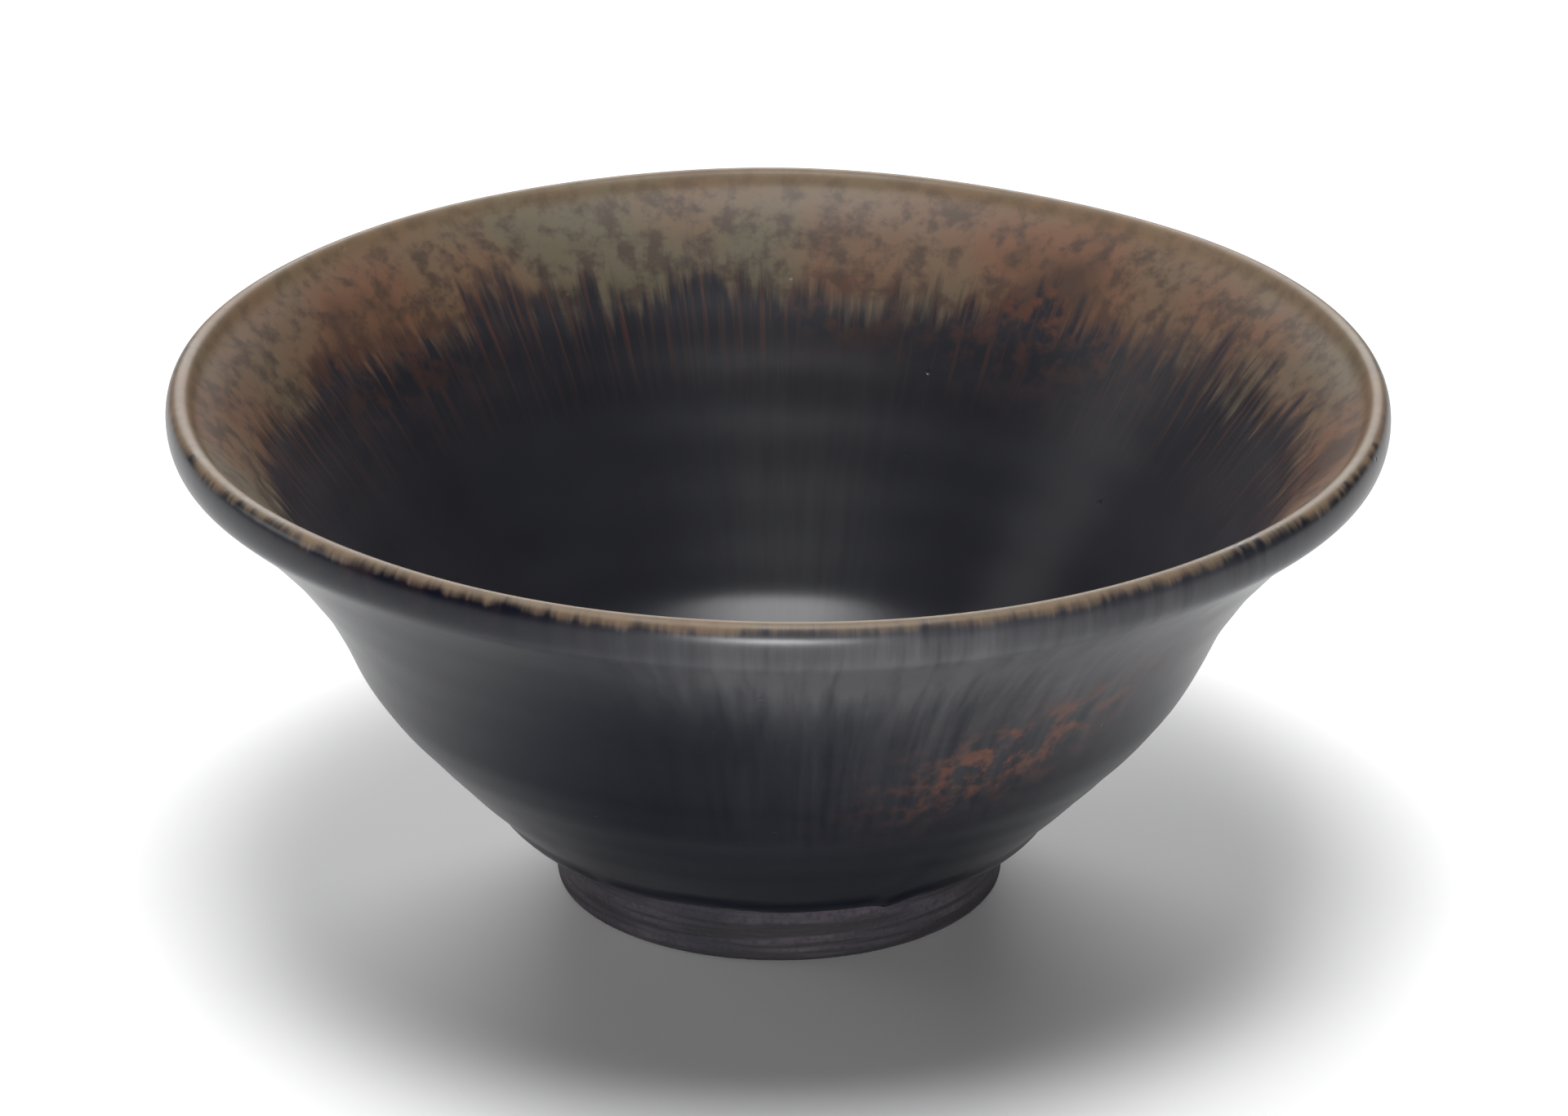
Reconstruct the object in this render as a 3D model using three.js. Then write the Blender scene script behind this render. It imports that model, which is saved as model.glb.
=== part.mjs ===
// A thrown stoneware tea cup with a wide flared mouth: one solid of fired clay and glaze.
// Millimetres, +Z up. The origin is the centre of the foot ring's underside, on the table.
import * as THREE from "three";

// Driving dimensions.
const MOUTH_RADIUS = 62; // outermost edge of the lip
const HEIGHT = 54.2; // table to the top of the lip

// The foot: a turned ring round a shallow hollow.
const FOOT_RADIUS = 23; // outside of the ring, at the table
const FOOT_HEIGHT = 6.4; // table to the step above the ring
const FOOT_SPLAY = 0.4; // how much wider the ring is at the step
const RING_WIDTH = 4.6;
const HOLLOW_DEPTH = 2.6;
const HOLLOW_CROWN = 0.5; // the middle of the hollow is this much higher than its edge
const HOLLOW_SLOPE = 1.2; // the hollow's side leans inwards by this much
const BEVEL = 0.7; // on both edges of the ring
const STEP_WIDTH = 1.2; // the narrow ledge above the ring

// The wall. Angles are of the outer wall's slope, up from level.
const BOWL_ANGLE = 42; // just above the foot
const WAIST_RADIUS = 44.6; // where the bowl ends and the flare begins
const WAIST_HEIGHT = 28.5;
const WAIST_ANGLE = 71;
const FLARE_ANGLE = 36; // just below the lip
const LIP_WALL = 4; // wall thickness below the lip
const INNER_ANGLE = 52.5; // the inside is nearly a straight cone below the flare
const NECK_RUN = 12; // down the inside, from under the lip to the top of the cone
const CONE_RUN = 32; // down the cone to where it rounds into the well
const NECK_EASE = 5; // the neck is this many degrees flatter than the cone
const FLOOR_HEIGHT = 9.6; // table to the bottom of the well
const WELL_RADIUS = 12; // roughly level bottom

// How far the outline keeps its direction before it bends, at each of its main points.
const WALL_EASE = 6.5; // out of the foot and out of the waist
const BEND_EASE = 8; // into the waist from below, and into the lip
const INNER_EASE = 4; // on both sides of the neck
const WELL_EASE = 7; // out of the cone into the well

// The lip is a rounded, nearly upright band.
const LIP_HEIGHT = 4.9; // underside of the lip to its top
const LIP_OVERHANG = 0.9; // the lip stands this far out beyond its underside
const CREST_INSET = 1.5; // the top of the lip is this far in from its outer edge
const LIP_FULLNESS = 0.3; // how far the curve's handles stand outside the lip, to round it fully
const LIP_BELLY = 1; // the lip turns upright this far above its underside
const LIP_ROUNDING = 1; // of the inner edge of the lip

// The glaze stops in a thick rolled edge, the welt, a little above the foot.
const BARE_RUN = 3; // bare clay up the wall, from the ledge to the welt
const WELT_HEIGHT = FOOT_HEIGHT + 2.1; // mean height of its lower edge
const WELT_LENGTH = 2.25; // up the wall
const GLAZE_THICKNESS = 0.68; // how far it stands out from the bare clay
const WELT_BULGE = 1.26; // from its lower edge to its fullest point
const WELT_BULGE_TURN = 40; // degrees from the wall's slope to that point
const WELT_WAVE = 1.1; // how far the edge wanders up and down the wall
const WELT_REACH = 7; // the wall follows the edge this far above it

// What the potter's hand and the kiln left: the mouth leans and is a little oval.
const LEAN = 0.008; // fall of the mouth per unit of X
const OVAL = 0.0035;
const OVAL_TURN = 0.5; // radians from +X to the wide way of the mouth

const SEGMENTS = 72; // facets round the cup
const CURVE_STEPS = 7; // facets along each curve of the outline

const point = (r, z) => new THREE.Vector2(r, z);

// The place reached from a point by going a length at an angle up from level.
function travel(from, degrees, length) {
  const angle = THREE.MathUtils.degToRad(degrees);
  return point(from.x + length * Math.cos(angle), from.y + length * Math.sin(angle));
}

// Main points of the outline, as radius and height.
const ledge = point(FOOT_RADIUS + FOOT_SPLAY + STEP_WIDTH, FOOT_HEIGHT);
const clayEdge = travel(ledge, BOWL_ANGLE, BARE_RUN);
const waist = point(WAIST_RADIUS, WAIST_HEIGHT);
const underLip = point(MOUTH_RADIUS - LIP_OVERHANG, HEIGHT - LIP_HEIGHT);
const crest = point(MOUTH_RADIUS - CREST_INSET, HEIGHT);
const innerLip = travel(underLip, FLARE_ANGLE + 90, LIP_WALL);
const innerNeck = travel(innerLip, INNER_ANGLE - NECK_EASE, -NECK_RUN);
const innerBase = travel(innerNeck, INNER_ANGLE, -CONE_RUN);
const wellMiddle = point(0, FLOOR_HEIGHT);

// Underside and side of the foot ring, from the middle of the hollow out to the ledge.
function drawFoot(path) {
  const ringInner = FOOT_RADIUS - RING_WIDTH;
  path.moveTo(0, HOLLOW_DEPTH + HOLLOW_CROWN);
  path.lineTo(ringInner - HOLLOW_SLOPE, HOLLOW_DEPTH);
  path.lineTo(ringInner, BEVEL);
  path.lineTo(ringInner + BEVEL, 0);
  path.lineTo(FOOT_RADIUS - BEVEL, 0);
  path.lineTo(FOOT_RADIUS, BEVEL);
  path.lineTo(FOOT_RADIUS + FOOT_SPLAY, FOOT_HEIGHT);
  path.lineTo(...ledge);
}

// Bare clay up to the glaze, the welt as three facets, then the bowl up to the waist.
function drawBowl(path) {
  const weltFoot = travel(clayEdge, BOWL_ANGLE - 90, GLAZE_THICKNESS);
  const weltTop = travel(weltFoot, BOWL_ANGLE, WELT_LENGTH);
  path.lineTo(...clayEdge);
  path.lineTo(...weltFoot);
  path.lineTo(...travel(clayEdge, BOWL_ANGLE - WELT_BULGE_TURN, WELT_BULGE));
  path.lineTo(...weltTop);
  const leaving = travel(weltTop, BOWL_ANGLE, WALL_EASE);
  const arriving = travel(waist, WAIST_ANGLE, -BEND_EASE);
  path.bezierCurveTo(...leaving, ...arriving, ...waist);
}

// The flare from the waist to the lip, and round the outside of the lip to its crest.
function drawFlare(path) {
  const leaving = travel(waist, WAIST_ANGLE, WALL_EASE);
  const arriving = travel(underLip, FLARE_ANGLE, -BEND_EASE);
  path.bezierCurveTo(...leaving, ...arriving, ...underLip);
  const lipSide = MOUTH_RADIUS + LIP_FULLNESS;
  path.bezierCurveTo(lipSide, underLip.y + LIP_BELLY, lipSide, HEIGHT, ...crest);
}

// From the crest of the lip down the inside to the middle of the well.
function drawInside(path) {
  path.moveTo(...crest);
  const crestInner = travel(crest, 180, LIP_ROUNDING);
  path.bezierCurveTo(...crestInner, ...travel(innerLip, FLARE_ANGLE, LIP_ROUNDING), ...innerLip);
  const leaving = travel(innerLip, FLARE_ANGLE, -INNER_EASE);
  const arriving = travel(innerNeck, INNER_ANGLE, INNER_EASE);
  path.bezierCurveTo(...leaving, ...arriving, ...innerNeck);
  path.lineTo(...innerBase);
  const baseLeaving = travel(innerBase, INNER_ANGLE, -WELL_EASE);
  path.bezierCurveTo(...baseLeaving, WELL_RADIUS, FLOOR_HEIGHT, ...wellMiddle);
}

// Slow unevenness round the cup, from -1 to 1.
function wander(angle) {
  return 0.5 * Math.sin(2 * angle + 0.6) + 0.3 * Math.sin(3 * angle - 1.1) + 0.2 * Math.sin(7 * angle + 2);
}

// Slides the welt and the wall near it up or down the slope.
function slideWelt(vertex) {
  const belowWelt = THREE.MathUtils.smoothstep(vertex.z, FOOT_HEIGHT, WELT_HEIGHT);
  const aboveWelt = 1 - THREE.MathUtils.smoothstep(vertex.z, WELT_HEIGHT, WELT_HEIGHT + WELT_REACH);
  const slide = WELT_WAVE * wander(Math.atan2(vertex.y, vertex.x)) * belowWelt * aboveWelt;
  const spread = 1 + slide / Math.hypot(vertex.x, vertex.y);
  vertex.set(vertex.x * spread, vertex.y * spread, vertex.z + slide);
}

// Leans the mouth and makes it oval, with nothing at the foot and the whole of it at the lip.
function settle(vertex) {
  const rise = (vertex.z / HEIGHT) ** 2;
  const oval = 1 + OVAL * rise * Math.cos(2 * (Math.atan2(vertex.y, vertex.x) - OVAL_TURN));
  vertex.set(vertex.x * oval, vertex.y * oval, vertex.z - LEAN * vertex.x * rise);
}

function makeCup() {
  const outside = new THREE.Path();
  drawFoot(outside);
  drawBowl(outside);
  drawFlare(outside);
  const inside = new THREE.Path();
  drawInside(inside);
  const outsidePoints = outside.getPoints(CURVE_STEPS);
  const outline = [...outsidePoints, ...inside.getPoints(CURVE_STEPS).slice(1)];

  const geometry = new THREE.LatheGeometry(outline, SEGMENTS).rotateX(Math.PI / 2);
  const position = geometry.getAttribute("position");
  const vertex = new THREE.Vector3();
  for (let i = 0; i < position.count; i++) {
    vertex.fromBufferAttribute(position, i);
    const isOutside = i % outline.length < outsidePoints.length;
    if (isOutside && vertex.z > FOOT_HEIGHT) slideWelt(vertex);
    settle(vertex);
    position.setXYZ(i, vertex.x, vertex.y, vertex.z);
  }
  geometry.computeVertexNormals();

  const glaze = new THREE.MeshStandardMaterial({ color: 0x1c1b20, roughness: 0.3, metalness: 0 });
  const cup = new THREE.Mesh(geometry, glaze);
  cup.name = "cup";
  return cup;
}

const part = new THREE.Group();
part.add(makeCup());

export default part;
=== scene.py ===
"""A thrown stoneware tea cup with a flared mouth and a dark iron glaze, standing on a plain pale floor.

Metres, +Z up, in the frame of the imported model. Lengths are written in millimetres and multiplied by MM.
"""
import math

import bpy
import numpy as np
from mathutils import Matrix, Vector
from mathutils.geometry import interpolate_bezier


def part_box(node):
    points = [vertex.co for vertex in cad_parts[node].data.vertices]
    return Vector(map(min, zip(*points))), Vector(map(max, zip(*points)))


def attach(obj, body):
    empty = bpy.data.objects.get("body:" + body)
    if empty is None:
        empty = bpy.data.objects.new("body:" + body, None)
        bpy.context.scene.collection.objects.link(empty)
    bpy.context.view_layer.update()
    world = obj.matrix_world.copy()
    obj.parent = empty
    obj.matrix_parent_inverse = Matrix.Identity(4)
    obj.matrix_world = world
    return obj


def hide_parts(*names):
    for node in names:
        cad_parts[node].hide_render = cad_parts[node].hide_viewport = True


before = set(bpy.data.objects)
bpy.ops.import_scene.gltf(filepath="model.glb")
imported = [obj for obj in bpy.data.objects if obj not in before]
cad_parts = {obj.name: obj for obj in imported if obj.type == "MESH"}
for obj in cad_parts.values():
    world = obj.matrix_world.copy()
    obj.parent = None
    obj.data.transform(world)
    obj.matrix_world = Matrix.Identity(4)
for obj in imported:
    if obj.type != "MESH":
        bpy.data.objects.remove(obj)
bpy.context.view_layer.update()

MM = 0.001

# Sizes of the cup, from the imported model's box where it gives them.
cup_low, cup_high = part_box("cup")
MOUTH_RADIUS = (cup_high[0] - cup_low[0]) / 2
LEAN = 0.008  # fall of the mouth per unit of X
HEIGHT = cup_high[2] - LEAN * MOUTH_RADIUS  # table to the crest of the lip, in the middle
OVAL = 0.0035
OVAL_TURN = 0.5  # radians from +X to the wide way of the mouth

# The foot: a turned ring round a shallow, slightly domed hollow.
FOOT_RADIUS = 23 * MM  # outside of the ring, at the table
FOOT_HEIGHT = 6.4 * MM  # table to the ledge over the ring
FOOT_SPLAY = 0.4 * MM  # how much wider the ring is under the ledge
RING_WIDTH = 4.6 * MM
HOLLOW_DEPTH = 2.6 * MM
HOLLOW_CROWN = 0.5 * MM  # the middle of the hollow is this much higher than its edge
LEDGE_WIDTH = 1.2 * MM
LEDGE_RISE = 0.2 * MM  # from the top of the ring out to the wall
BEVEL = 0.7 * MM  # on both lower edges of the ring
# The hollow's dome: radii, and the share of the crown there.
HOLLOW_DOME = ((0, 1), (2 * MM, 0.98), (6 * MM, 0.8), (11 * MM, 0.4), (15.5 * MM, 0.04))

# The wall. Angles are of the outer wall's slope, in degrees up from level.
BOWL_ANGLE = 42
CLAY_RUN = 8 * MM  # straight wall above the ledge
WAIST = (44.6 * MM, 28.5 * MM)  # radius and height
WAIST_ANGLE = 71
FLARE_ANGLE = 36
INNER_ANGLE = 52.5  # the inside is nearly a straight cone below the flare
NECK_ANGLE = INNER_ANGLE - 5
NECK_RUN = 12 * MM  # down the inside, from under the lip to the top of the cone
CONE_RUN = 32 * MM
FLOOR_HEIGHT = 9.6 * MM
WELL_RADIUS = 12 * MM  # roughly level bottom
WELL_MIDDLE = 2 * MM  # quite level

# How far the outline keeps its direction before it bends, at each of its main points.
CLAY_EASE = 3 * MM  # at both ends of the straight wall
BOWL_EASE = 4 * MM  # out of the straight wall
WAIST_EASE = 7 * MM  # into the waist from below
FLARE_EASE = 6.5 * MM  # out of the waist
LIP_EASE = 8 * MM  # into the lip from below
NECK_EASE = 4 * MM  # out of the lip and into the neck
CONE_EASE = 10 * MM  # at both ends of the cone
WELL_EASE = 7 * MM  # out of the cone into the well

# The lip is a rounded, nearly upright band.
LIP_WALL = 4 * MM  # wall thickness below the lip
LIP_HEIGHT = 4.9 * MM  # underside of the lip to its top
LIP_OVERHANG = 0.9 * MM  # the lip stands this far out beyond its underside
LIP_FULLNESS = 0.3 * MM  # how far the curve's handles stand outside the lip, to round it fully
LIP_BELLY = 1 * MM  # the lip turns upright this far above its underside
CREST_INSET = 1.5 * MM  # the top of the lip is this far in from its outer edge
CREST_ROUNDING = 1 * MM  # of the lip's inner edge, at the crest
INNER_ROUNDING = 0.9 * MM  # and below it

# The glaze is thick near its lower edge, where it ends in a rolled welt with a few drips.
WELT_RUN = 3.4 * MM  # mean distance of the glaze's edge up the wall from the ledge over the foot
WELT_WAVES = ((0.7, 2, 0.6), (0.42, 3, -1.1), (0.3, 7, 2.0), (0.14, 13, 0.4))  # sizes in mm
DRIPS = (  # angle round the cup, depth in mm, half width in radians
    (-1.15, 1.5, 0.055), (-2.3, 0.9, 0.07), (0.7, 1.2, 0.06), (2.2, 1.6, 0.05),
)
GLAZE_THICKNESS = 0.65 * MM  # how far the glaze stands out from the bare clay
THICKENING = (-0.35 * MM, 0.45 * MM)  # where it gets that thick, up the wall from its edge
THINNING = (3 * MM, 15 * MM)  # where it thins out again
WELT_BEAD = 0.45 * MM  # how much further the welt stands out
WELT_PLACE = 0.75 * MM  # from the glaze's edge to the fullest part of the welt
WELT_WIDTH = 0.95 * MM  # from there to where it has faded
WELT_SAG = 0.35 * MM  # how far the edge hangs down

# Throwing rings, and slow dents from handling the soft clay.
RING_SPACING = 6.2 * MM
RING_DEPTH_OUTSIDE = 0.03 * MM
RING_DEPTH_INSIDE = 0.05 * MM
RING_WAVES = ((0.5, 2, 1.0), (0.3, 3, 0.2))
RING_FOOT_FADE = (6 * MM, 14 * MM)  # where they come in, up the wall from the foot
RING_WELL_FADE = (4 * MM, 16 * MM)  # out from the middle of the well
RING_LIP_FADE = (6 * MM, 14 * MM)  # away from the crest, on both sides
DENT_WAVES = ((0.10, 3, 0.4), (0.07, 5, 2.2))  # sizes in mm
DENT_LENGTH = 9 * MM
DENT_FADE = (FOOT_HEIGHT + 2 * MM, 20 * MM)  # the heights where they come in
LIP_WAVES = ((0.16, 3, 1.4), (0.10, 5, 0.3), (0.05, 8, 2.0))  # the lip's rise and fall, sizes in mm

# Blooms in the glaze: the angle round the cup, the distance in from the crest (negative is down the outside),
# half the width (as at the waist), half the height, how much it rises to one side, and the strength.
# Where iron gathered and the glaze broke russet:
RUSSET_BLOOMS = (
    (2.5, 8 * MM, 12 * MM, 9 * MM, 0, 1), (1.0, 9 * MM, 15 * MM, 9 * MM, 0, 1),
    (1.45, 11 * MM, 5 * MM, 6 * MM, 0, 1), (-0.2, 7 * MM, 9 * MM, 7 * MM, 0, 1),
    (-2.2, 9 * MM, 14 * MM, 7 * MM, 0, 1), (3.1, 7 * MM, 9 * MM, 7 * MM, 0, 0.7),
    (-1.03, -29 * MM, 11 * MM, 5.5 * MM, 0.35, 1), (2.0, -24 * MM, 7 * MM, 5 * MM, -0.3, 1),
)
# Grey where the glaze ran thinner. The blooms on the front half of the outside and the one low inside at the
# back
# are painted highlights and reflections:
GREY_AND_SHEEN_BLOOMS = (
    (-1.5, -8 * MM, 14 * MM, 9 * MM, 0, 0.9), (-1.0, -15 * MM, 21 * MM, 16 * MM, 0, 0.6),
    (-1.4, -36 * MM, 19 * MM, 14 * MM, 0, 0.1), (-0.75, -11 * MM, 12 * MM, 9 * MM, 0, 0.3),
    (0.5, -12 * MM, 16 * MM, 10 * MM, 0, 0.35), (1.9, -14 * MM, 20 * MM, 11 * MM, 0, 0.4),
    (-2.9, -9 * MM, 14 * MM, 6 * MM, 0, 0.25), (1.5, 38 * MM, 12 * MM, 22 * MM, 0, 0.3),
)

# Mesh.
FACETS = 78  # round the cup, before it is subdivided
SUBDIVISIONS = 2
MERGE_DISTANCE = 0.01 * MM
OUTLINE_TICK = 0.1 * MM  # spacing of the points that places along the outline are read from
SLOPE_WINDOW = 9  # ticks that a slope is averaged over
OUTLINE_GRID = 0.02 * MM  # vertices nearer than this in the outline's plane share a place

# Studio. Each softbox: name, azimuth and elevation in degrees, distance and size in metres, radiance.
SOFTBOXES = (
    ("overhead", 0, 88, 1.2, (0.7, 0.7), 5.75),
    ("overhead_front", 180, 84, 1.2, (0.5, 0.5), 6.7),
    ("back_box", 0, 28, 1.5, (1.4, 0.3), 11.8),
    ("back_left", -35, 42, 1.5, (0.7, 0.6), 1.9),
    ("left", -80, 32, 1.5, (0.5, 0.5), 1),
    ("left_low", -80, 14, 1.5, (0.6, 0.3), 4.3),
    ("front_low", 180, 6, 1.5, (0.5, 0.2), 52),
)
FLOOR_SIZE = 12  # metres
LENS = 197  # mm
CAMERA_ELEVATION = 22.2  # degrees
CAMERA_DROP = 1.18  # degrees: the cup's mouth stands above the middle of the view
CAMERA_DISTANCE = 14 * MOUTH_RADIUS  # from the middle of the mouth
CAMERA_SIDE = 0.5 * MM  # to the right


# ---------------------------------------------------------------- outline

def travel(start, degrees, length):
    """The place reached from a point (radius, height) by going a length at an angle up from level."""
    angle = math.radians(degrees)
    return (start[0] + length * math.cos(angle), start[1] + length * math.sin(angle))


def curve(start, start_handle, end_handle, end, steps):
    """Points of a Bezier curve after its start, as (radius, height)."""
    corners = [Vector((*place, 0)) for place in (start, start_handle, end_handle, end)]
    return [(p.x, p.y) for p in interpolate_bezier(*corners, steps + 1)[1:]]


def foot_outline():
    """From the middle of the turned hollow, round the foot ring, out to the ledge above it."""
    inner = FOOT_RADIUS - RING_WIDTH
    top = FOOT_RADIUS + FOOT_SPLAY
    return [
        # The domed hollow.
        *[(radius, HOLLOW_DEPTH + HOLLOW_CROWN * share) for radius, share in HOLLOW_DOME],
        # Its side, which leans inwards.
        (inner - 1.5 * MM, HOLLOW_DEPTH - 0.15 * MM), (inner - 0.8 * MM, HOLLOW_DEPTH - 0.8 * MM),
        # The standing face and its two rounded edges.
        (inner - 0.3 * MM, BEVEL * 1.3), (inner + 0.1 * MM, BEVEL * 0.5),
        (inner + BEVEL * 0.5, 0.08 * MM), (inner + BEVEL, 0), (FOOT_RADIUS - 2.3 * MM, 0),
        (FOOT_RADIUS - BEVEL, 0), (FOOT_RADIUS - BEVEL * 0.45, 0.08 * MM),
        (FOOT_RADIUS - 0.05 * MM, BEVEL * 0.5), (FOOT_RADIUS, BEVEL * 1.2),
        # The splayed side of the ring.
        (FOOT_RADIUS + FOOT_SPLAY * 0.4, FOOT_HEIGHT * 0.42),
        (FOOT_RADIUS + FOOT_SPLAY * 0.8, FOOT_HEIGHT * 0.75), (top, FOOT_HEIGHT - 0.5 * MM),
        # The ledge.
        (top + 0.15 * MM, FOOT_HEIGHT - 0.1 * MM), (top + 0.5 * MM, FOOT_HEIGHT),
        (top + LEDGE_WIDTH - 0.2 * MM, FOOT_HEIGHT + 0.05 * MM),
    ]


def wall_outline():
    """From the ledge over the foot up the bowl and the flare, round the lip and down into the well."""
    ledge = (FOOT_RADIUS + FOOT_SPLAY + LEDGE_WIDTH, FOOT_HEIGHT + LEDGE_RISE)
    clay = travel(ledge, BOWL_ANGLE, CLAY_RUN)
    under_lip = (MOUTH_RADIUS - LIP_OVERHANG, HEIGHT - LIP_HEIGHT)
    crest = (MOUTH_RADIUS - CREST_INSET, HEIGHT)
    inner_lip = travel(under_lip, FLARE_ANGLE + 90, LIP_WALL)
    inner_neck = travel(inner_lip, NECK_ANGLE, -NECK_RUN)
    inner_base = travel(inner_neck, INNER_ANGLE, -CONE_RUN)
    lip_side = MOUTH_RADIUS + LIP_FULLNESS
    well = (0, FLOOR_HEIGHT)
    return [
        ledge,
        *curve(ledge, travel(ledge, BOWL_ANGLE, CLAY_EASE), travel(clay, BOWL_ANGLE, -CLAY_EASE), clay,
               steps=7),
        *curve(clay, travel(clay, BOWL_ANGLE, BOWL_EASE), travel(WAIST, WAIST_ANGLE, -WAIST_EASE), WAIST,
               steps=6),
        *curve(WAIST, travel(WAIST, WAIST_ANGLE, FLARE_EASE), travel(under_lip, FLARE_ANGLE, -LIP_EASE),
               under_lip, steps=9),
        *curve(under_lip, (lip_side, under_lip[1] + LIP_BELLY), (lip_side, HEIGHT), crest, steps=6),
        *curve(crest, travel(crest, 180, CREST_ROUNDING), travel(inner_lip, FLARE_ANGLE, INNER_ROUNDING),
               inner_lip, steps=4),
        *curve(inner_lip, travel(inner_lip, FLARE_ANGLE, -NECK_EASE),
               travel(inner_neck, INNER_ANGLE, NECK_EASE), inner_neck, steps=6),
        *curve(inner_neck, travel(inner_neck, INNER_ANGLE, -CONE_EASE),
               travel(inner_base, INNER_ANGLE, CONE_EASE), inner_base, steps=8),
        *curve(inner_base, travel(inner_base, INNER_ANGLE, -WELL_EASE), (WELL_RADIUS, FLOOR_HEIGHT), well,
               steps=9)[:-1],
        (WELL_MIDDLE, FLOOR_HEIGHT), well,
    ]


# ---------------------------------------------------------------- cup

def turn_cup(outline):
    """The plain form: one vertex drawn along the outline, turned about Z, closed and subdivided.

    It is turned by a modifier and not by the spin tool, whose faces come in another order each time.
    """
    bpy.ops.object.select_all(action="DESELECT")
    bpy.ops.mesh.primitive_plane_add(size=MM, location=(outline[0][0], 0, outline[0][1]))
    cup = bpy.context.object
    cup.name = "glazed_cup"
    bpy.ops.object.transform_apply(location=True, rotation=True, scale=True)
    bpy.ops.object.mode_set(mode="EDIT")
    bpy.ops.mesh.select_all(action="SELECT")
    bpy.ops.mesh.merge(type="CENTER")
    for (r0, z0), (r1, z1) in zip(outline, outline[1:]):
        bpy.ops.mesh.extrude_region_move(TRANSFORM_OT_translate={"value": (r1 - r0, 0, z1 - z0)})
    bpy.ops.object.mode_set(mode="OBJECT")
    turned = cup.modifiers.new("turned", "SCREW")
    turned.axis = "Z"
    turned.angle = math.tau
    turned.steps = turned.render_steps = FACETS
    turned.use_merge_vertices = True
    turned.merge_threshold = MERGE_DISTANCE
    bpy.ops.object.modifier_apply(modifier=turned.name)
    bpy.ops.object.mode_set(mode="EDIT")
    bpy.ops.mesh.select_all(action="SELECT")
    bpy.ops.mesh.normals_make_consistent(inside=False)
    bpy.ops.object.mode_set(mode="OBJECT")
    finer = cup.modifiers.new("finer", "SUBSURF")
    finer.levels = finer.render_levels = SUBDIVISIONS
    bpy.ops.object.modifier_apply(modifier=finer.name)
    bpy.ops.object.shade_smooth()
    return cup


def along_outline(radius, height, outline):
    """For each vertex, its place along the outline and the outline's direction there."""
    points = np.array(outline)
    lengths = np.hypot(*np.diff(points, axis=0).T)
    runs = np.concatenate([[0], np.cumsum(lengths)])
    ticks = np.arange(0, runs[-1], OUTLINE_TICK)
    dense = np.stack([np.interp(ticks, runs, points[:, k]) for k in range(2)], axis=1)
    slope = np.gradient(dense, axis=0)
    window = np.ones(SLOPE_WINDOW) / SLOPE_WINDOW
    slope = np.stack([np.convolve(slope[:, k], window, mode="same") for k in range(2)], axis=1)
    slope /= np.linalg.norm(slope, axis=1, keepdims=True)
    places = np.round(np.stack([radius, height], axis=1) / OUTLINE_GRID)
    rows, row_of = np.unique(places, axis=0, return_inverse=True)
    nearest = [np.argmin(((dense - row * OUTLINE_GRID) ** 2).sum(axis=1)) for row in rows]
    nearest = np.array(nearest)[row_of.ravel()]
    return ticks[nearest], slope[nearest]


def waves(angle, *terms):
    """Sum of sines round the cup. Each term is (size, waves round, phase)."""
    return sum(size * np.sin(count * angle + phase) for size, count, phase in terms)


def bump_at(distance, width):
    """1 at no distance, falling smoothly to nothing both ways."""
    return np.exp(-(distance / width) ** 2)


def smooth(value, low, high):
    """0 below low, 1 above high, smooth between."""
    t = np.clip((value - low) / (high - low), 0, 1)
    return t * t * (3 - 2 * t)


def turned_away(angle, centre):
    """Angle from a direction round the cup, from -pi to pi."""
    return np.angle(np.exp(1j * (angle - centre)))


def blooms_at(blooms, angle, along):
    """How strong a set of blooms is, from 0 to 1."""
    total = np.zeros_like(angle)
    for where, place, half_width, half_height, rise, strength in blooms:
        sideways = turned_away(angle, where) * WAIST[0]
        upwards = along - place - rise * sideways
        total += strength * bump_at(np.hypot(sideways / half_width, upwards / half_height), 1)
    return np.minimum(total, 1)


def glaze_edge_at(angle):
    """How far up the wall the glaze ends at each angle, with drips that hang below it."""
    edge = WELT_RUN + MM * waves(angle, *WELT_WAVES)
    for where, depth, half_width in DRIPS:
        edge -= depth * MM * bump_at(turned_away(angle, where), half_width)
    return edge


def throwing_rings(angle, run):
    """A slow, uneven spiral along the outline, from -1 to 1."""
    turns = math.tau * run / RING_SPACING + 1.3 * np.sin(run / (8 * MM)) + angle
    spiral = np.sin(turns + waves(angle, *RING_WAVES))
    return spiral * (0.75 + 0.3 * np.sin(run / (5 * MM) + 2 * angle))


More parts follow.
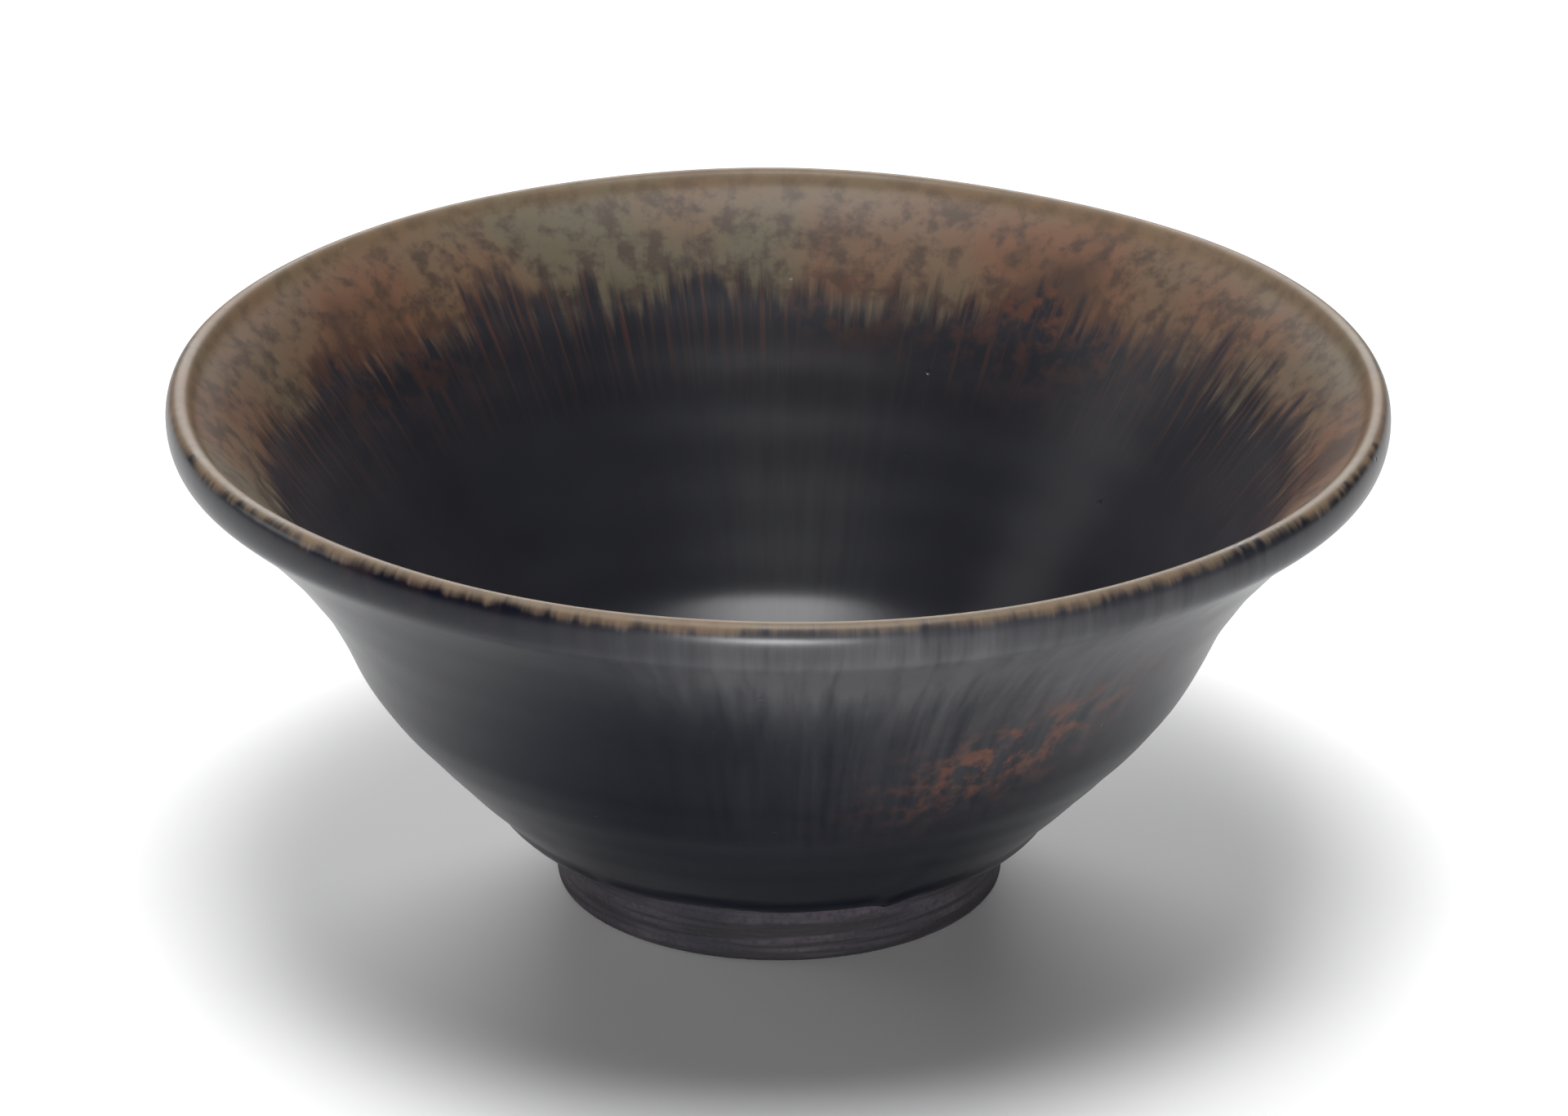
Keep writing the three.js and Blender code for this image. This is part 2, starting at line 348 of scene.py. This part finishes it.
def weather(cup, outline, ledge_run, crest_run):
    """Gives the turned form its thrown unevenness, and the glaze its thickness, welt and drips.

    Returns the distance of each vertex above the glaze's edge, whether it is outside, and its place along
    the outline.
    """
    mesh = cup.data
    place = np.empty(len(mesh.vertices) * 3)
    mesh.vertices.foreach_get("co", place)
    place = place.reshape(-1, 3)
    radius = np.hypot(place[:, 0], place[:, 1])
    angle = np.arctan2(place[:, 1], place[:, 0])
    height = place[:, 2]
    run, slope = along_outline(radius, height, outline)
    up_wall = run - ledge_run
    along = run - crest_run
    outside = run < crest_run
    out = np.stack([slope[:, 1], -slope[:, 0]], axis=1)

    # The glaze, with its welt at the edge.
    over = up_wall - glaze_edge_at(angle)
    coat = smooth(over, *THICKENING) * (1 - smooth(over, *THINNING)) * outside
    bead = bump_at(over - WELT_PLACE, WELT_WIDTH) * outside
    move = GLAZE_THICKNESS * coat + WELT_BEAD * bead

    # Throwing rings are stronger inside, and fade at the lip, the foot and the well's middle.
    on_wall = smooth(up_wall, *RING_FOOT_FADE) * smooth(radius, *RING_WELL_FADE)
    off_lip = smooth(abs(along), *RING_LIP_FADE)
    ring_depth = np.where(outside, RING_DEPTH_OUTSIDE, RING_DEPTH_INSIDE)
    move += ring_depth * throwing_rings(angle, run) * on_wall * off_lip

    dents = waves(angle, *DENT_WAVES) * np.sin(run / DENT_LENGTH + 1.3 * np.sin(angle))
    move += dents * MM * smooth(height, *DENT_FADE)

    radius = radius + move * out[:, 0]
    height = height + move * out[:, 1]
    height -= WELT_SAG * bump_at(over + 0.1 * MM, 0.6 * MM) * outside
    height += MM * waves(angle, *LIP_WAVES) * (height / HEIGHT) ** 4

    rise = (height / HEIGHT) ** 2
    oval = 1 + OVAL * rise * np.cos(2 * (angle - OVAL_TURN))
    place[:, 0] = radius * np.cos(angle) * oval
    place[:, 1] = radius * np.sin(angle) * oval
    place[:, 2] = height - LEAN * place[:, 0] * rise
    mesh.vertices.foreach_set("co", place.ravel())

    # Coordinates that follow the wall, in metres, for the materials: two for the way round, as at the mouth,
    # and one along the wall from the crest, positive inside.
    wall = np.stack([MOUTH_RADIUS * np.cos(angle), MOUTH_RADIUS * np.sin(angle), along], axis=1)
    mesh.attributes.new("wall", "FLOAT_VECTOR", "POINT").data.foreach_set("vector", wall.ravel())
    # The grey blooms are partly painted highlights and reflections.
    for name, blooms in (("russet", RUSSET_BLOOMS), ("grey", GREY_AND_SHEEN_BLOOMS)):
        values = blooms_at(blooms, angle, along)
        mesh.attributes.new(name, "FLOAT", "POINT").data.foreach_set("value", values)
    # On the foot the glaze's edge counts as a metre away, so that its stain stays off it.
    glaze_edge = np.where(up_wall < 0, -1.0, over)
    mesh.attributes.new("glaze_edge", "FLOAT", "POINT").data.foreach_set("value", glaze_edge)
    mesh.update()
    return over, outside, run


def make_cup():
    """The whole cup, with a material for the glaze and one for the bare clay."""
    foot = foot_outline()
    outline = foot + wall_outline()
    lengths = [math.dist(a, b) for a, b in zip(outline, outline[1:])]
    crest = max(range(len(outline)), key=lambda i: outline[i][1])
    ledge_run = sum(lengths[:len(foot)])
    crest_run = sum(lengths[:crest])
    cup = turn_cup(outline)
    over, outside, run = weather(cup, outline, ledge_run, crest_run)
    bare = (outside & (over < 0)) | (run < ledge_run)
    cup.data.materials.clear()
    cup.data.materials.append(iron_glaze())
    cup.data.materials.append(bare_stoneware())
    # A face is bare clay where at least three of its four corners are.
    for face in cup.data.polygons:
        face.material_index = int(sum(bare[v] for v in face.vertices) > 2)
    return cup


# ---------------------------------------------------------------- materials

def colour(code):
    """Linear RGBA of an sRGB hex colour."""
    parts = [int(code[i:i + 2], 16) / 255 for i in (1, 3, 5)]
    return (*[p / 12.92 if p <= 0.04045 else ((p + 0.055) / 1.055) ** 2.4 for p in parts], 1)


def add(tree, kind, links=None, **settings):
    """Adds a node, sets its properties and its unlinked inputs, and links its other inputs.

    links maps an input's name or number to an output socket or to a plain value.
    """
    node = tree.nodes.new(kind)
    for name, value in settings.items():
        setattr(node, name, value)
    for name, value in (links or {}).items():
        if isinstance(value, bpy.types.NodeSocket):
            tree.links.new(value, node.inputs[name])
        else:
            node.inputs[name].default_value = value
    return node


def new_material(name):
    """A named material and its empty node tree."""
    material = bpy.data.materials.new(name)
    material.use_nodes = True
    tree = material.node_tree
    tree.nodes.clear()
    return material, tree


def iron_glaze():
    """Iron-saturated feldspar glaze, fired in a wood kiln.

    Where it lies thick it is near black with a breath of violet and a soft gloss. It drains from the lip and
    stays thin down the first centimetre inside, where it breaks to mottled olive, brown and russet. The band
    ends in runs that turned to fine hairs.
    """
    material, tree = new_material("iron_black_glaze")
    place = add(tree, "ShaderNodeTexCoord").outputs["Object"]
    wall = add(tree, "ShaderNodeAttribute", attribute_name="wall").outputs["Vector"]
    along = add(tree, "ShaderNodeSeparateXYZ", {0: wall}).outputs["Z"]
    russet = add(tree, "ShaderNodeAttribute", attribute_name="russet").outputs["Fac"]
    grey = add(tree, "ShaderNodeAttribute", attribute_name="grey").outputs["Fac"]

    # Clouds are 14 mm across and the mottling 2.4 mm.
    clouds = add(tree, "ShaderNodeTexNoise",
                 {"Vector": place, "Scale": 1 / (14 * MM), "Detail": 3}).outputs["Fac"]
    mottle = add(tree, "ShaderNodeTexNoise", {"Vector": place, "Scale": 1 / (2.4 * MM), "Detail": 5,
                                              "Roughness": 0.6}).outputs["Fac"]
    # Runs are 1.8 mm apart round the cup and drawn out eight times as long; hairs are 0.7 mm apart.
    drawn = add(tree, "ShaderNodeVectorMath", {0: wall, 1: (1, 1, 0.12)}, operation="MULTIPLY")
    runs = add(tree, "ShaderNodeTexNoise", {"Vector": drawn.outputs[0], "Scale": 1 / (1.8 * MM), "Detail": 4,
                                            "Roughness": 0.6}).outputs["Fac"]
    finer = add(tree, "ShaderNodeVectorMath", {0: wall, 1: (1, 1, 0.05)}, operation="MULTIPLY")
    hairs = add(tree, "ShaderNodeTexNoise", {"Vector": finer.outputs[0], "Scale": 1 / (0.7 * MM),
                                             "Detail": 2}).outputs["Fac"]

    # The band's edges, in metres from the crest, moved by the clouds and the runs, but little at the lip.
    cloud_shift = add(tree, "ShaderNodeMapRange", {"Value": clouds, "From Min": 0.3, "From Max": 0.7,
                                                   "To Min": -3 * MM, "To Max": 3 * MM})
    run_shift = add(tree, "ShaderNodeMapRange", {"Value": runs, "From Min": 0.3, "From Max": 0.7,
                                                 "To Min": -3.4 * MM, "To Max": 3.4 * MM})
    shift = add(tree, "ShaderNodeMath", {0: cloud_shift.outputs[0], 1: run_shift.outputs[0]},
                operation="ADD")
    looseness = add(tree, "ShaderNodeMapRange", {"Value": along, "From Min": -1 * MM, "From Max": 8 * MM,
                                                 "To Min": 0.15, "To Max": 1})
    shifted = add(tree, "ShaderNodeMath", {0: shift.outputs[0], 1: looseness.outputs[0], 2: along},
                  operation="MULTIPLY_ADD")
    inner = add(tree, "ShaderNodeMapRange",
                {"Value": shifted.outputs[0], "From Min": 9.5 * MM, "From Max": 16 * MM, "To Min": 1,
                 "To Max": 0}, interpolation_type="SMOOTHSTEP")
    outer = add(tree, "ShaderNodeMapRange",
                {"Value": shifted.outputs[0], "From Min": -1.7 * MM, "From Max": -0.2 * MM},
                interpolation_type="SMOOTHSTEP")
    band = add(tree, "ShaderNodeMath", {0: inner.outputs[0], 1: outer.outputs[0]},
               operation="MULTIPLY").outputs[0]

    # Thin glaze: olive to russet in clouds, darker in spots, paler where it drained off the lip.
    warmth = add(tree, "ShaderNodeMath", {0: russet, 1: 0.41, 2: clouds}, operation="MULTIPLY_ADD")
    thin = add(tree, "ShaderNodeValToRGB", {0: warmth.outputs[0]})
    tones = thin.color_ramp.elements
    tones[0].position, tones[0].color = 0.42, colour("#5f5848")
    tones[1].position, tones[1].color = 1, colour("#4c382e")
    tones.new(0.6).color = colour("#675544")
    tones.new(0.8).color = colour("#6b4e3d")
    spots = add(tree, "ShaderNodeMapRange", {"Value": mottle, "From Min": 0.42, "From Max": 0.66,
                                             "To Max": 0.8}, interpolation_type="SMOOTHSTEP")
    spotted = add(tree, "ShaderNodeMix", {"Factor": spots.outputs[0], 6: thin.outputs[0],
                                          7: colour("#41352f")}, data_type="RGBA")
    drained = add(tree, "ShaderNodeMapRange", {"Value": along, "From Min": 0.5 * MM, "From Max": 4 * MM,
                                               "To Min": 0.55, "To Max": 0}, interpolation_type="SMOOTHSTEP")
    lip = add(tree, "ShaderNodeMix", {"Factor": drained.outputs[0], 6: spotted.outputs[2],
                                      7: colour("#786651")}, data_type="RGBA")

    # Thick glaze: black, and blacker outside, with grey streaky blooms (where it ran thinner, and painted
    # highlights and reflections on the front and low inside at the back), brown hairs below the band, and
    # russet breaks.
    inside = add(tree, "ShaderNodeMix", {"Factor": clouds, 6: colour("#23232a"), 7: colour("#333439")},
                 data_type="RGBA")
    streaks = add(tree, "ShaderNodeMapRange", {"Value": runs, "From Min": 0.3, "From Max": 0.7,
                                               "To Min": 0.6, "To Max": 1.4})
    # The grey mixed in here is partly painted highlight and reflection, on the front below the lip and low
    # inside at the back.
    grey_sheen_amount = add(tree, "ShaderNodeMath", {0: grey, 1: streaks.outputs[0]}, operation="MULTIPLY")
    plain = add(tree, "ShaderNodeMix", {"Factor": outer.outputs[0], 6: colour("#040714"),
                                        7: inside.outputs[2]}, data_type="RGBA")
    black = add(tree, "ShaderNodeMix", {"Factor": grey_sheen_amount.outputs[0], 6: plain.outputs[2],
                                        7: colour("#4d4d50")}, data_type="RGBA")
    fading = add(tree, "ShaderNodeMapRange", {"Value": along, "From Min": 10 * MM, "From Max": 27 * MM,
                                              "To Min": 0.5, "To Max": 0})
    hair = add(tree, "ShaderNodeMapRange", {"Value": hairs, "From Min": 0.5, "From Max": 0.7})
    hair_inside = add(tree, "ShaderNodeMath", {0: hair.outputs[0], 1: outer.outputs[0]},
                      operation="MULTIPLY")
    hair_amount = add(tree, "ShaderNodeMath", {0: hair_inside.outputs[0], 1: fading.outputs[0]},
                      operation="MULTIPLY")
    breaking = add(tree, "ShaderNodeMath", {0: russet, 1: spots.outputs[0]}, operation="MULTIPLY")
    brown = add(tree, "ShaderNodeMath", {0: hair_amount.outputs[0], 1: breaking.outputs[0]},
                operation="MAXIMUM")
    thick = add(tree, "ShaderNodeMix", {"Factor": brown.outputs[0], 6: black.outputs[2],
                                        7: colour("#6b4636")}, data_type="RGBA")
    glaze = add(tree, "ShaderNodeMix", {"Factor": band, 6: thick.outputs[2], 7: lip.outputs[2]},
                data_type="RGBA")

    # A soft gloss that varies, duller where the glaze is thin. The skin has weathered, so it reflects less
    # than a new glaze, whose IOR is about 1.5.
    patchy = add(tree, "ShaderNodeMapRange", {"Value": clouds, "From Min": 0.3, "From Max": 0.7,
                                              "To Min": 0.28, "To Max": 0.32})
    gloss = add(tree, "ShaderNodeMath", {0: band, 1: 0.16, 2: patchy.outputs[0]},
                operation="MULTIPLY_ADD")

    # Orange peel, 1.8 mm across, and pinholes 0.5 mm wide where bubbles burst, about one to the centimetre.
    peel = add(tree, "ShaderNodeTexNoise",
               {"Vector": place, "Scale": 1 / (1.8 * MM), "Detail": 2}).outputs["Fac"]
    peeled = add(tree, "ShaderNodeBump", {"Height": peel, "Strength": 0.25, "Distance": 0.05 * MM})
    bubbles = add(tree, "ShaderNodeTexVoronoi",
                  {"Vector": place, "Scale": 1 / (7 * MM)}).outputs["Distance"]
    pinholes = add(tree, "ShaderNodeMapRange", {"Value": bubbles, "From Min": 0.02, "From Max": 0.05})
    pitted = add(tree, "ShaderNodeBump", {"Height": pinholes.outputs[0], "Distance": 0.05 * MM,
                                          "Normal": peeled.outputs[0]})

    shader = add(tree, "ShaderNodeBsdfPrincipled", {"Base Color": glaze.outputs[2], "IOR": 1.37,
                                                    "Roughness": gloss.outputs[0],
                                                    "Normal": pitted.outputs[0]})
    add(tree, "ShaderNodeOutputMaterial", {"Surface": shader.outputs[0]})
    return material


def bare_stoneware():
    """Iron-bearing stoneware, turned on the wheel and left bare.

    It is matt, purplish grey and gritty, with turning lines. The glaze's edge bled a thin rusty line into it.
    """
    material, tree = new_material("bare_dark_stoneware")
    place = add(tree, "ShaderNodeTexCoord").outputs["Object"]
    wall = add(tree, "ShaderNodeAttribute", attribute_name="wall").outputs["Vector"]
    above_clay = add(tree, "ShaderNodeAttribute", attribute_name="glaze_edge").outputs["Fac"]

    # Grit is 0.6 mm across, and the clouds that the flame left 11 mm.
    grit = add(tree, "ShaderNodeTexNoise",
               {"Vector": place, "Scale": 1 / (0.6 * MM), "Detail": 3}).outputs["Fac"]
    flame = add(tree, "ShaderNodeTexNoise",
                {"Vector": place, "Scale": 1 / (11 * MM), "Detail": 3}).outputs["Fac"]
    # Turning lines about 0.8 mm apart: a noise that hardly changes round the cup.
    squeezed = add(tree, "ShaderNodeVectorMath", {0: wall, 1: (0.02, 0.02, 1)}, operation="MULTIPLY")
    lines = add(tree, "ShaderNodeTexNoise", {"Vector": squeezed.outputs[0], "Scale": 1 / (0.8 * MM),
                                             "Detail": 2}).outputs["Fac"]

    # Dark grit and grooves in a ground that the flame toned, and the stain below the glaze.
    toned = add(tree, "ShaderNodeMapRange", {"Value": flame, "From Min": 0.35, "From Max": 0.65})
    flamed = add(tree, "ShaderNodeMix", {"Factor": toned.outputs[0], 6: colour("#302f38"),
                                         7: colour("#4a434b")}, data_type="RGBA")
    speckled = add(tree, "ShaderNodeMapRange", {"Value": grit, "From Min": 0.4, "From Max": 0.75,
                                                "To Max": 0.7})
    grooved = add(tree, "ShaderNodeMapRange", {"Value": lines, "From Min": 0.42, "From Max": 0.58,
                                               "To Min": 0.8, "To Max": 0})
    darkened = add(tree, "ShaderNodeMath", {0: speckled.outputs[0], 1: grooved.outputs[0]},
                   operation="MAXIMUM")
    clay = add(tree, "ShaderNodeMix", {"Factor": darkened.outputs[0], 6: flamed.outputs[2],
                                       7: colour("#1d1b1e")}, data_type="RGBA")
    bled = add(tree, "ShaderNodeMapRange", {"Value": above_clay, "From Min": -1.3 * MM,
                                            "From Max": -0.2 * MM, "To Max": 0.7})
    stained = add(tree, "ShaderNodeMix", {"Factor": bled.outputs[0], 6: clay.outputs[2],
                                          7: colour("#6a4431")}, data_type="RGBA")

    turned = add(tree, "ShaderNodeBump", {"Height": lines, "Strength": 0.9, "Distance": 0.3 * MM})
    gritty = add(tree, "ShaderNodeBump", {"Height": grit, "Strength": 0.7, "Distance": 0.2 * MM,
                                          "Normal": turned.outputs[0]})
    shader = add(tree, "ShaderNodeBsdfPrincipled", {"Base Color": stained.outputs[2], "Roughness": 0.8,
                                                    "Normal": gritty.outputs[0]})
    add(tree, "ShaderNodeOutputMaterial", {"Surface": shader.outputs[0]})
    return material


def white_floor():
    """Matt white paper sweep."""
    material, tree = new_material("matt_white_paper")
    shader = add(tree, "ShaderNodeBsdfPrincipled", {"Base Color": colour("#fafafa"), "Roughness": 0.9,
                                                    "Specular IOR Level": 0.2})
    add(tree, "ShaderNodeOutputMaterial", {"Surface": shader.outputs[0]})
    return material


# ---------------------------------------------------------------- studio

def make_floor():
    """The plain sheet that the cup stands on."""
    bpy.ops.object.select_all(action="DESELECT")
    bpy.ops.mesh.primitive_plane_add(size=FLOOR_SIZE)
    floor = bpy.context.object
    floor.name = "floor"
    floor.data.materials.append(white_floor())


def make_light(name, azimuth, elevation, distance, size, radiance):
    """A white softbox that faces the cup. Azimuth turns from +Y (behind the cup) towards +X, in degrees."""
    turn, rise = math.radians(azimuth), math.radians(elevation)
    way = Vector((math.sin(turn) * math.cos(rise), math.cos(turn) * math.cos(rise), math.sin(rise)))
    data = bpy.data.lights.new(name, "AREA")
    data.shape = "RECTANGLE"
    data.size, data.size_y = size
    data.energy = math.pi * size[0] * size[1] * radiance  # watts
    light = bpy.data.objects.new(name, data)
    light.location = way * distance + Vector((0, 0, HEIGHT / 2))
    light.rotation_euler = way.to_track_quat("Z", "Y").to_euler()
    bpy.context.collection.objects.link(light)


def make_dark_world():
    """Only the softboxes give light."""
    world = bpy.data.worlds.new("studio")
    world.use_nodes = True
    world.node_tree.nodes["Background"].inputs["Strength"].default_value = 0
    bpy.context.scene.world = world


def make_camera():
    """Looks down on the cup from in front."""
    elevation = math.radians(CAMERA_ELEVATION)
    data = bpy.data.cameras.new("camera")
    data.lens = LENS
    data.clip_start = 0.01
    camera = bpy.data.objects.new("camera", data)
    camera.location = (CAMERA_SIDE, -CAMERA_DISTANCE * math.cos(elevation),
                       HEIGHT + CAMERA_DISTANCE * math.sin(elevation))
    camera.rotation_euler = (math.pi / 2 - elevation - math.radians(CAMERA_DROP), 0, 0)
    bpy.context.collection.objects.link(camera)
    bpy.context.scene.camera = camera


cup = make_cup()
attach(cup, "root")
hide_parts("cup")

make_floor()
for softbox in SOFTBOXES:
    make_light(*softbox)
make_dark_world()
make_camera()
bpy.context.scene.view_settings.view_transform = "Standard"
